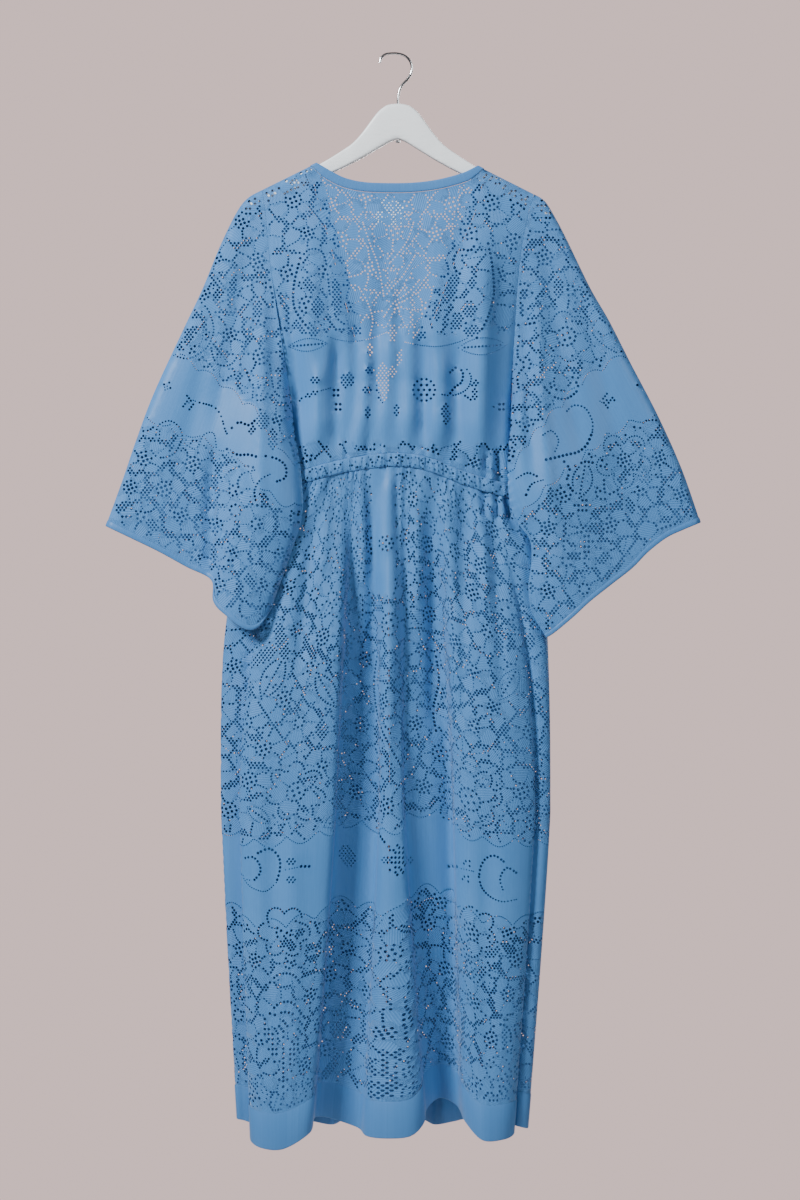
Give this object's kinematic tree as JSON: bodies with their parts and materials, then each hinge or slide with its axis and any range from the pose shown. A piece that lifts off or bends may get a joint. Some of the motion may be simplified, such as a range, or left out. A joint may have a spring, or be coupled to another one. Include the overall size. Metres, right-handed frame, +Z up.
{
  "type": "lace robe on a hanger",
  "caption": "Full-length blue lace robe with wide kimono sleeves, open V front and gathered waist, hung flat on a white wooden hanger with a bent steel hook.",
  "frame": {"origin": "inside of the hook's bend, where a rail carries the hanger", "axes": "+Z up along the hanging robe, +X to the viewer's right as pictured, +Y from the robe's back toward its open front"},
  "size_m": [0.8457, 0.1145, 1.5487],
  "materials": {
    "lace_blue": "satin cotton-blend lace",
    "band_blue": "folded and stitched cloth",
    "white_wood": "white painted",
    "chrome": "polished"
  },
  "bodies": {
    "root": {"hanger_wood": "white_wood", "hanger_hook": "chrome", "hanger_nut": "chrome", "bodice_back": "lace_blue", "bodice_front_left": "lace_blue", "bodice_front_right": "lace_blue", "casing_back": "band_blue", "casing_front_left": "band_blue", "casing_front_right": "band_blue", "neckband_back": "band_blue", "neckband_front_left": "band_blue", "neckband_front_right": "band_blue", "skirt_back": "lace_blue", "skirt_front_left": "lace_blue", "skirt_front_right": "lace_blue", "sleeve_left_back": "lace_blue", "sleeve_left_front": "lace_blue", "sleeve_right_back": "lace_blue", "sleeve_right_front": "lace_blue"}
  },
  "joints": []
}
